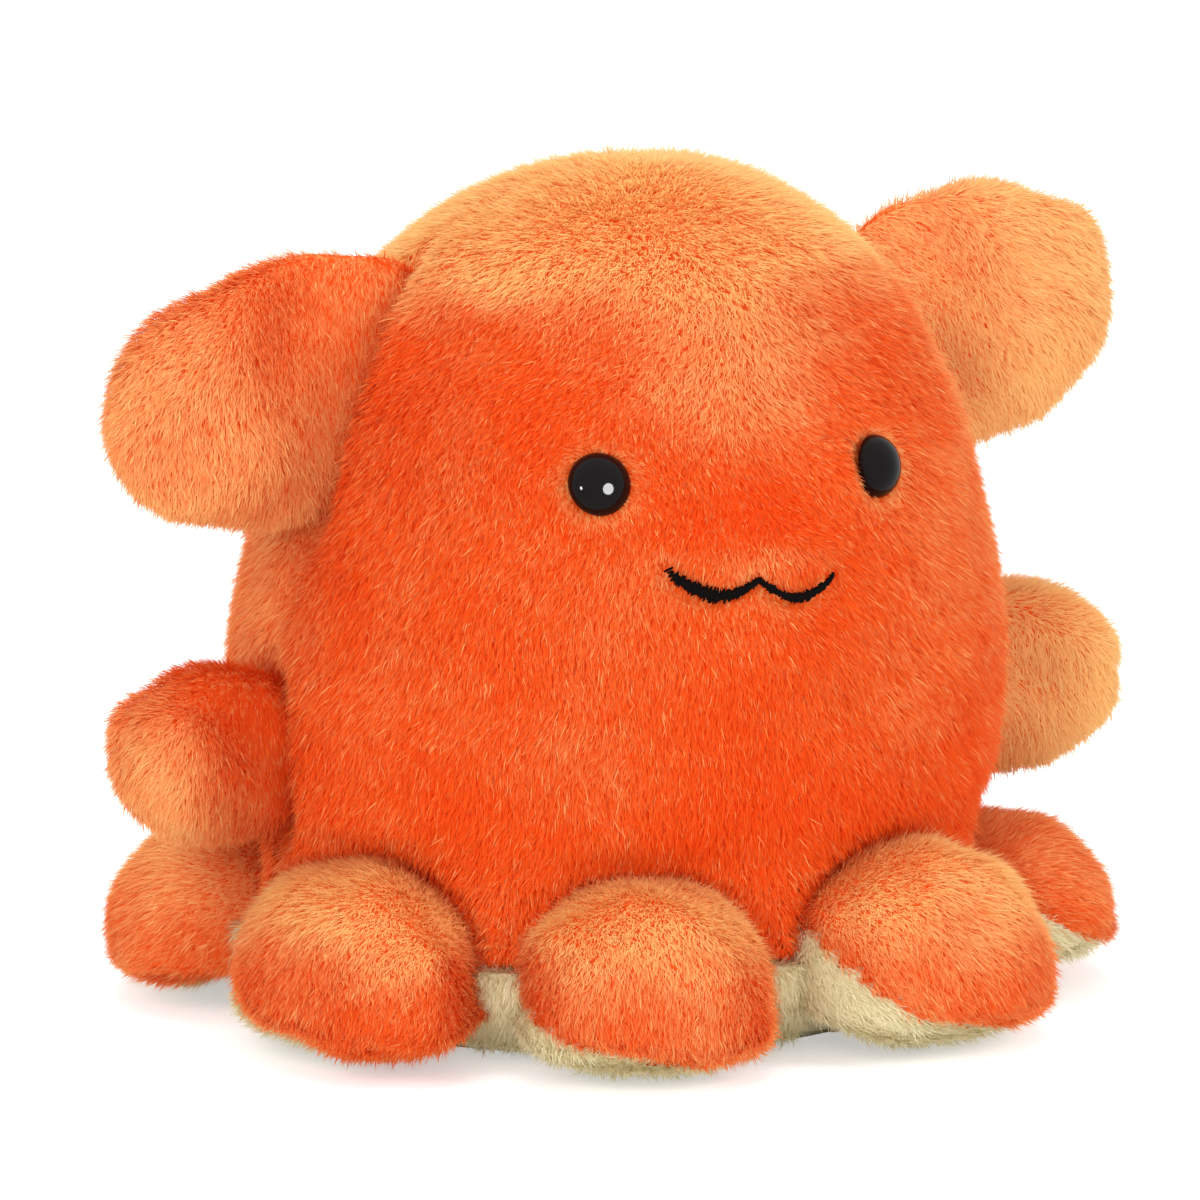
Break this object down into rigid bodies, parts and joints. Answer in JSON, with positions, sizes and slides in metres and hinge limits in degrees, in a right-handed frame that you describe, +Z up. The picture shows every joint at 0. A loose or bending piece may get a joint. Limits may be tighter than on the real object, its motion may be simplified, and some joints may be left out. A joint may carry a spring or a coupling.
{
  "type": "plush octopus",
  "caption": "Small bean-filled plush octopus that stands on its floor arms, with folding fins, raised side arms and a flat cream base.",
  "frame": {"origin": "middle of the flat underside of the base panel, on the floor", "axes": "+Z up, the face looks along -Y, the octopus's left side is at +X"},
  "size_m": [0.1479, 0.1217, 0.11],
  "materials": {
    "orange_plush": "short orange pile, lighter at the tips, matte with a soft sheen",
    "cream_plush": "short pale cream pile, matte",
    "fibre_filling": "white polyester fibre",
    "pellet_cloth": "plain woven bag holding plastic pellets",
    "patch_cloth": "white non-woven backing",
    "eye_gloss": "polished black",
    "washer_plastic": "plain moulded white",
    "black_thread": "black satin stitch with a faint sheen"
  },
  "bodies": {
    "body": {"body_front_panel": "orange_plush", "body_back_panel": "orange_plush", "body_filling": "fibre_filling", "pellet_bag": "pellet_cloth", "base_panel": "cream_plush", "left_eye": "eye_gloss", "right_eye": "eye_gloss", "left_eye_washer": "washer_plastic", "right_eye_washer": "washer_plastic", "mouth_stitching": "black_thread", "mouth_patch": "patch_cloth"},
    "left_ear": {"left_ear_front_panel": "orange_plush", "left_ear_back_panel": "orange_plush", "left_ear_filling": "fibre_filling"},
    "left_arm": {"left_arm_front_panel": "orange_plush", "left_arm_back_panel": "orange_plush", "left_arm_filling": "fibre_filling"},
    "right_ear": {"right_ear_front_panel": "orange_plush", "right_ear_back_panel": "orange_plush", "right_ear_filling": "fibre_filling"},
    "right_arm": {"right_arm_front_panel": "orange_plush", "right_arm_back_panel": "orange_plush", "right_arm_filling": "fibre_filling"},
    "floor_arm_1": {"floor_arm_1_cover": "orange_plush", "floor_arm_1_sole": "cream_plush", "floor_arm_1_filling": "fibre_filling"},
    "floor_arm_2": {"floor_arm_2_cover": "orange_plush", "floor_arm_2_sole": "cream_plush", "floor_arm_2_filling": "fibre_filling"},
    "floor_arm_3": {"floor_arm_3_cover": "orange_plush", "floor_arm_3_sole": "cream_plush", "floor_arm_3_filling": "fibre_filling"},
    "floor_arm_4": {"floor_arm_4_cover": "orange_plush", "floor_arm_4_sole": "cream_plush", "floor_arm_4_filling": "fibre_filling"},
    "floor_arm_5": {"floor_arm_5_cover": "orange_plush", "floor_arm_5_sole": "cream_plush", "floor_arm_5_filling": "fibre_filling"},
    "floor_arm_6": {"floor_arm_6_cover": "orange_plush", "floor_arm_6_sole": "cream_plush", "floor_arm_6_filling": "fibre_filling"},
    "floor_arm_7": {"floor_arm_7_cover": "orange_plush", "floor_arm_7_sole": "cream_plush", "floor_arm_7_filling": "fibre_filling"},
    "floor_arm_8": {"floor_arm_8_cover": "orange_plush", "floor_arm_8_sole": "cream_plush", "floor_arm_8_filling": "fibre_filling"}
  },
  "joints": [
    {"name": "left_ear_fold", "type": "hinge", "parent": "body", "child": "left_ear", "pos_m": [0.04094, -0.00382, 0.084], "axis": [0.5178, 0, -0.8555], "range_deg": [-45, 45], "stiffness_Nm_per_rad": 0.004},
    {"name": "left_arm_swing", "type": "hinge", "parent": "body", "child": "left_arm", "pos_m": [0.05085, -0.00164, 0.036], "axis": [-0.0848, 0, -0.9964], "range_deg": [-35, 35], "stiffness_Nm_per_rad": 0.003},
    {"name": "right_ear_fold", "type": "hinge", "parent": "body", "child": "right_ear", "pos_m": [-0.04094, -0.00382, 0.084], "axis": [0.5178, 0, 0.8555], "range_deg": [-45, 45], "stiffness_Nm_per_rad": 0.004},
    {"name": "right_arm_swing", "type": "hinge", "parent": "body", "child": "right_arm", "pos_m": [-0.05085, -0.00164, 0.036], "axis": [-0.0848, 0, 0.9964], "range_deg": [-35, 35], "stiffness_Nm_per_rad": 0.003},
    {"name": "floor_arm_1_lift", "type": "hinge", "parent": "body", "child": "floor_arm_1", "pos_m": [0.01786, -0.04312, 0.0225], "axis": [-0.9239, -0.3827, 0], "range_deg": [0, 35], "stiffness_Nm_per_rad": 0.002},
    {"name": "floor_arm_2_lift", "type": "hinge", "parent": "body", "child": "floor_arm_2", "pos_m": [0.04483, -0.01857, 0.0225], "axis": [-0.3827, -0.9239, 0], "range_deg": [0, 35], "stiffness_Nm_per_rad": 0.002},
    {"name": "floor_arm_3_lift", "type": "hinge", "parent": "body", "child": "floor_arm_3", "pos_m": [0.04388, 0.01818, 0.0225], "axis": [0.3827, -0.9239, 0], "range_deg": [0, 35], "stiffness_Nm_per_rad": 0.002},
    {"name": "floor_arm_4_lift", "type": "hinge", "parent": "body", "child": "floor_arm_4", "pos_m": [0.0171, 0.04129, 0.0225], "axis": [0.9239, -0.3827, 0], "range_deg": [0, 35], "stiffness_Nm_per_rad": 0.002},
    {"name": "floor_arm_5_lift", "type": "hinge", "parent": "body", "child": "floor_arm_5", "pos_m": [-0.0171, 0.04129, 0.0225], "axis": [0.9239, 0.3827, 0], "range_deg": [0, 35], "stiffness_Nm_per_rad": 0.002},
    {"name": "floor_arm_6_lift", "type": "hinge", "parent": "body", "child": "floor_arm_6", "pos_m": [-0.04388, 0.01818, 0.0225], "axis": [0.3827, 0.9239, 0], "range_deg": [0, 35], "stiffness_Nm_per_rad": 0.002},
    {"name": "floor_arm_7_lift", "type": "hinge", "parent": "body", "child": "floor_arm_7", "pos_m": [-0.04483, -0.01857, 0.0225], "axis": [-0.3827, 0.9239, 0], "range_deg": [0, 35], "stiffness_Nm_per_rad": 0.002},
    {"name": "floor_arm_8_lift", "type": "hinge", "parent": "body", "child": "floor_arm_8", "pos_m": [-0.01786, -0.04312, 0.0225], "axis": [-0.9239, 0.3827, 0], "range_deg": [0, 35], "stiffness_Nm_per_rad": 0.002}
  ]
}
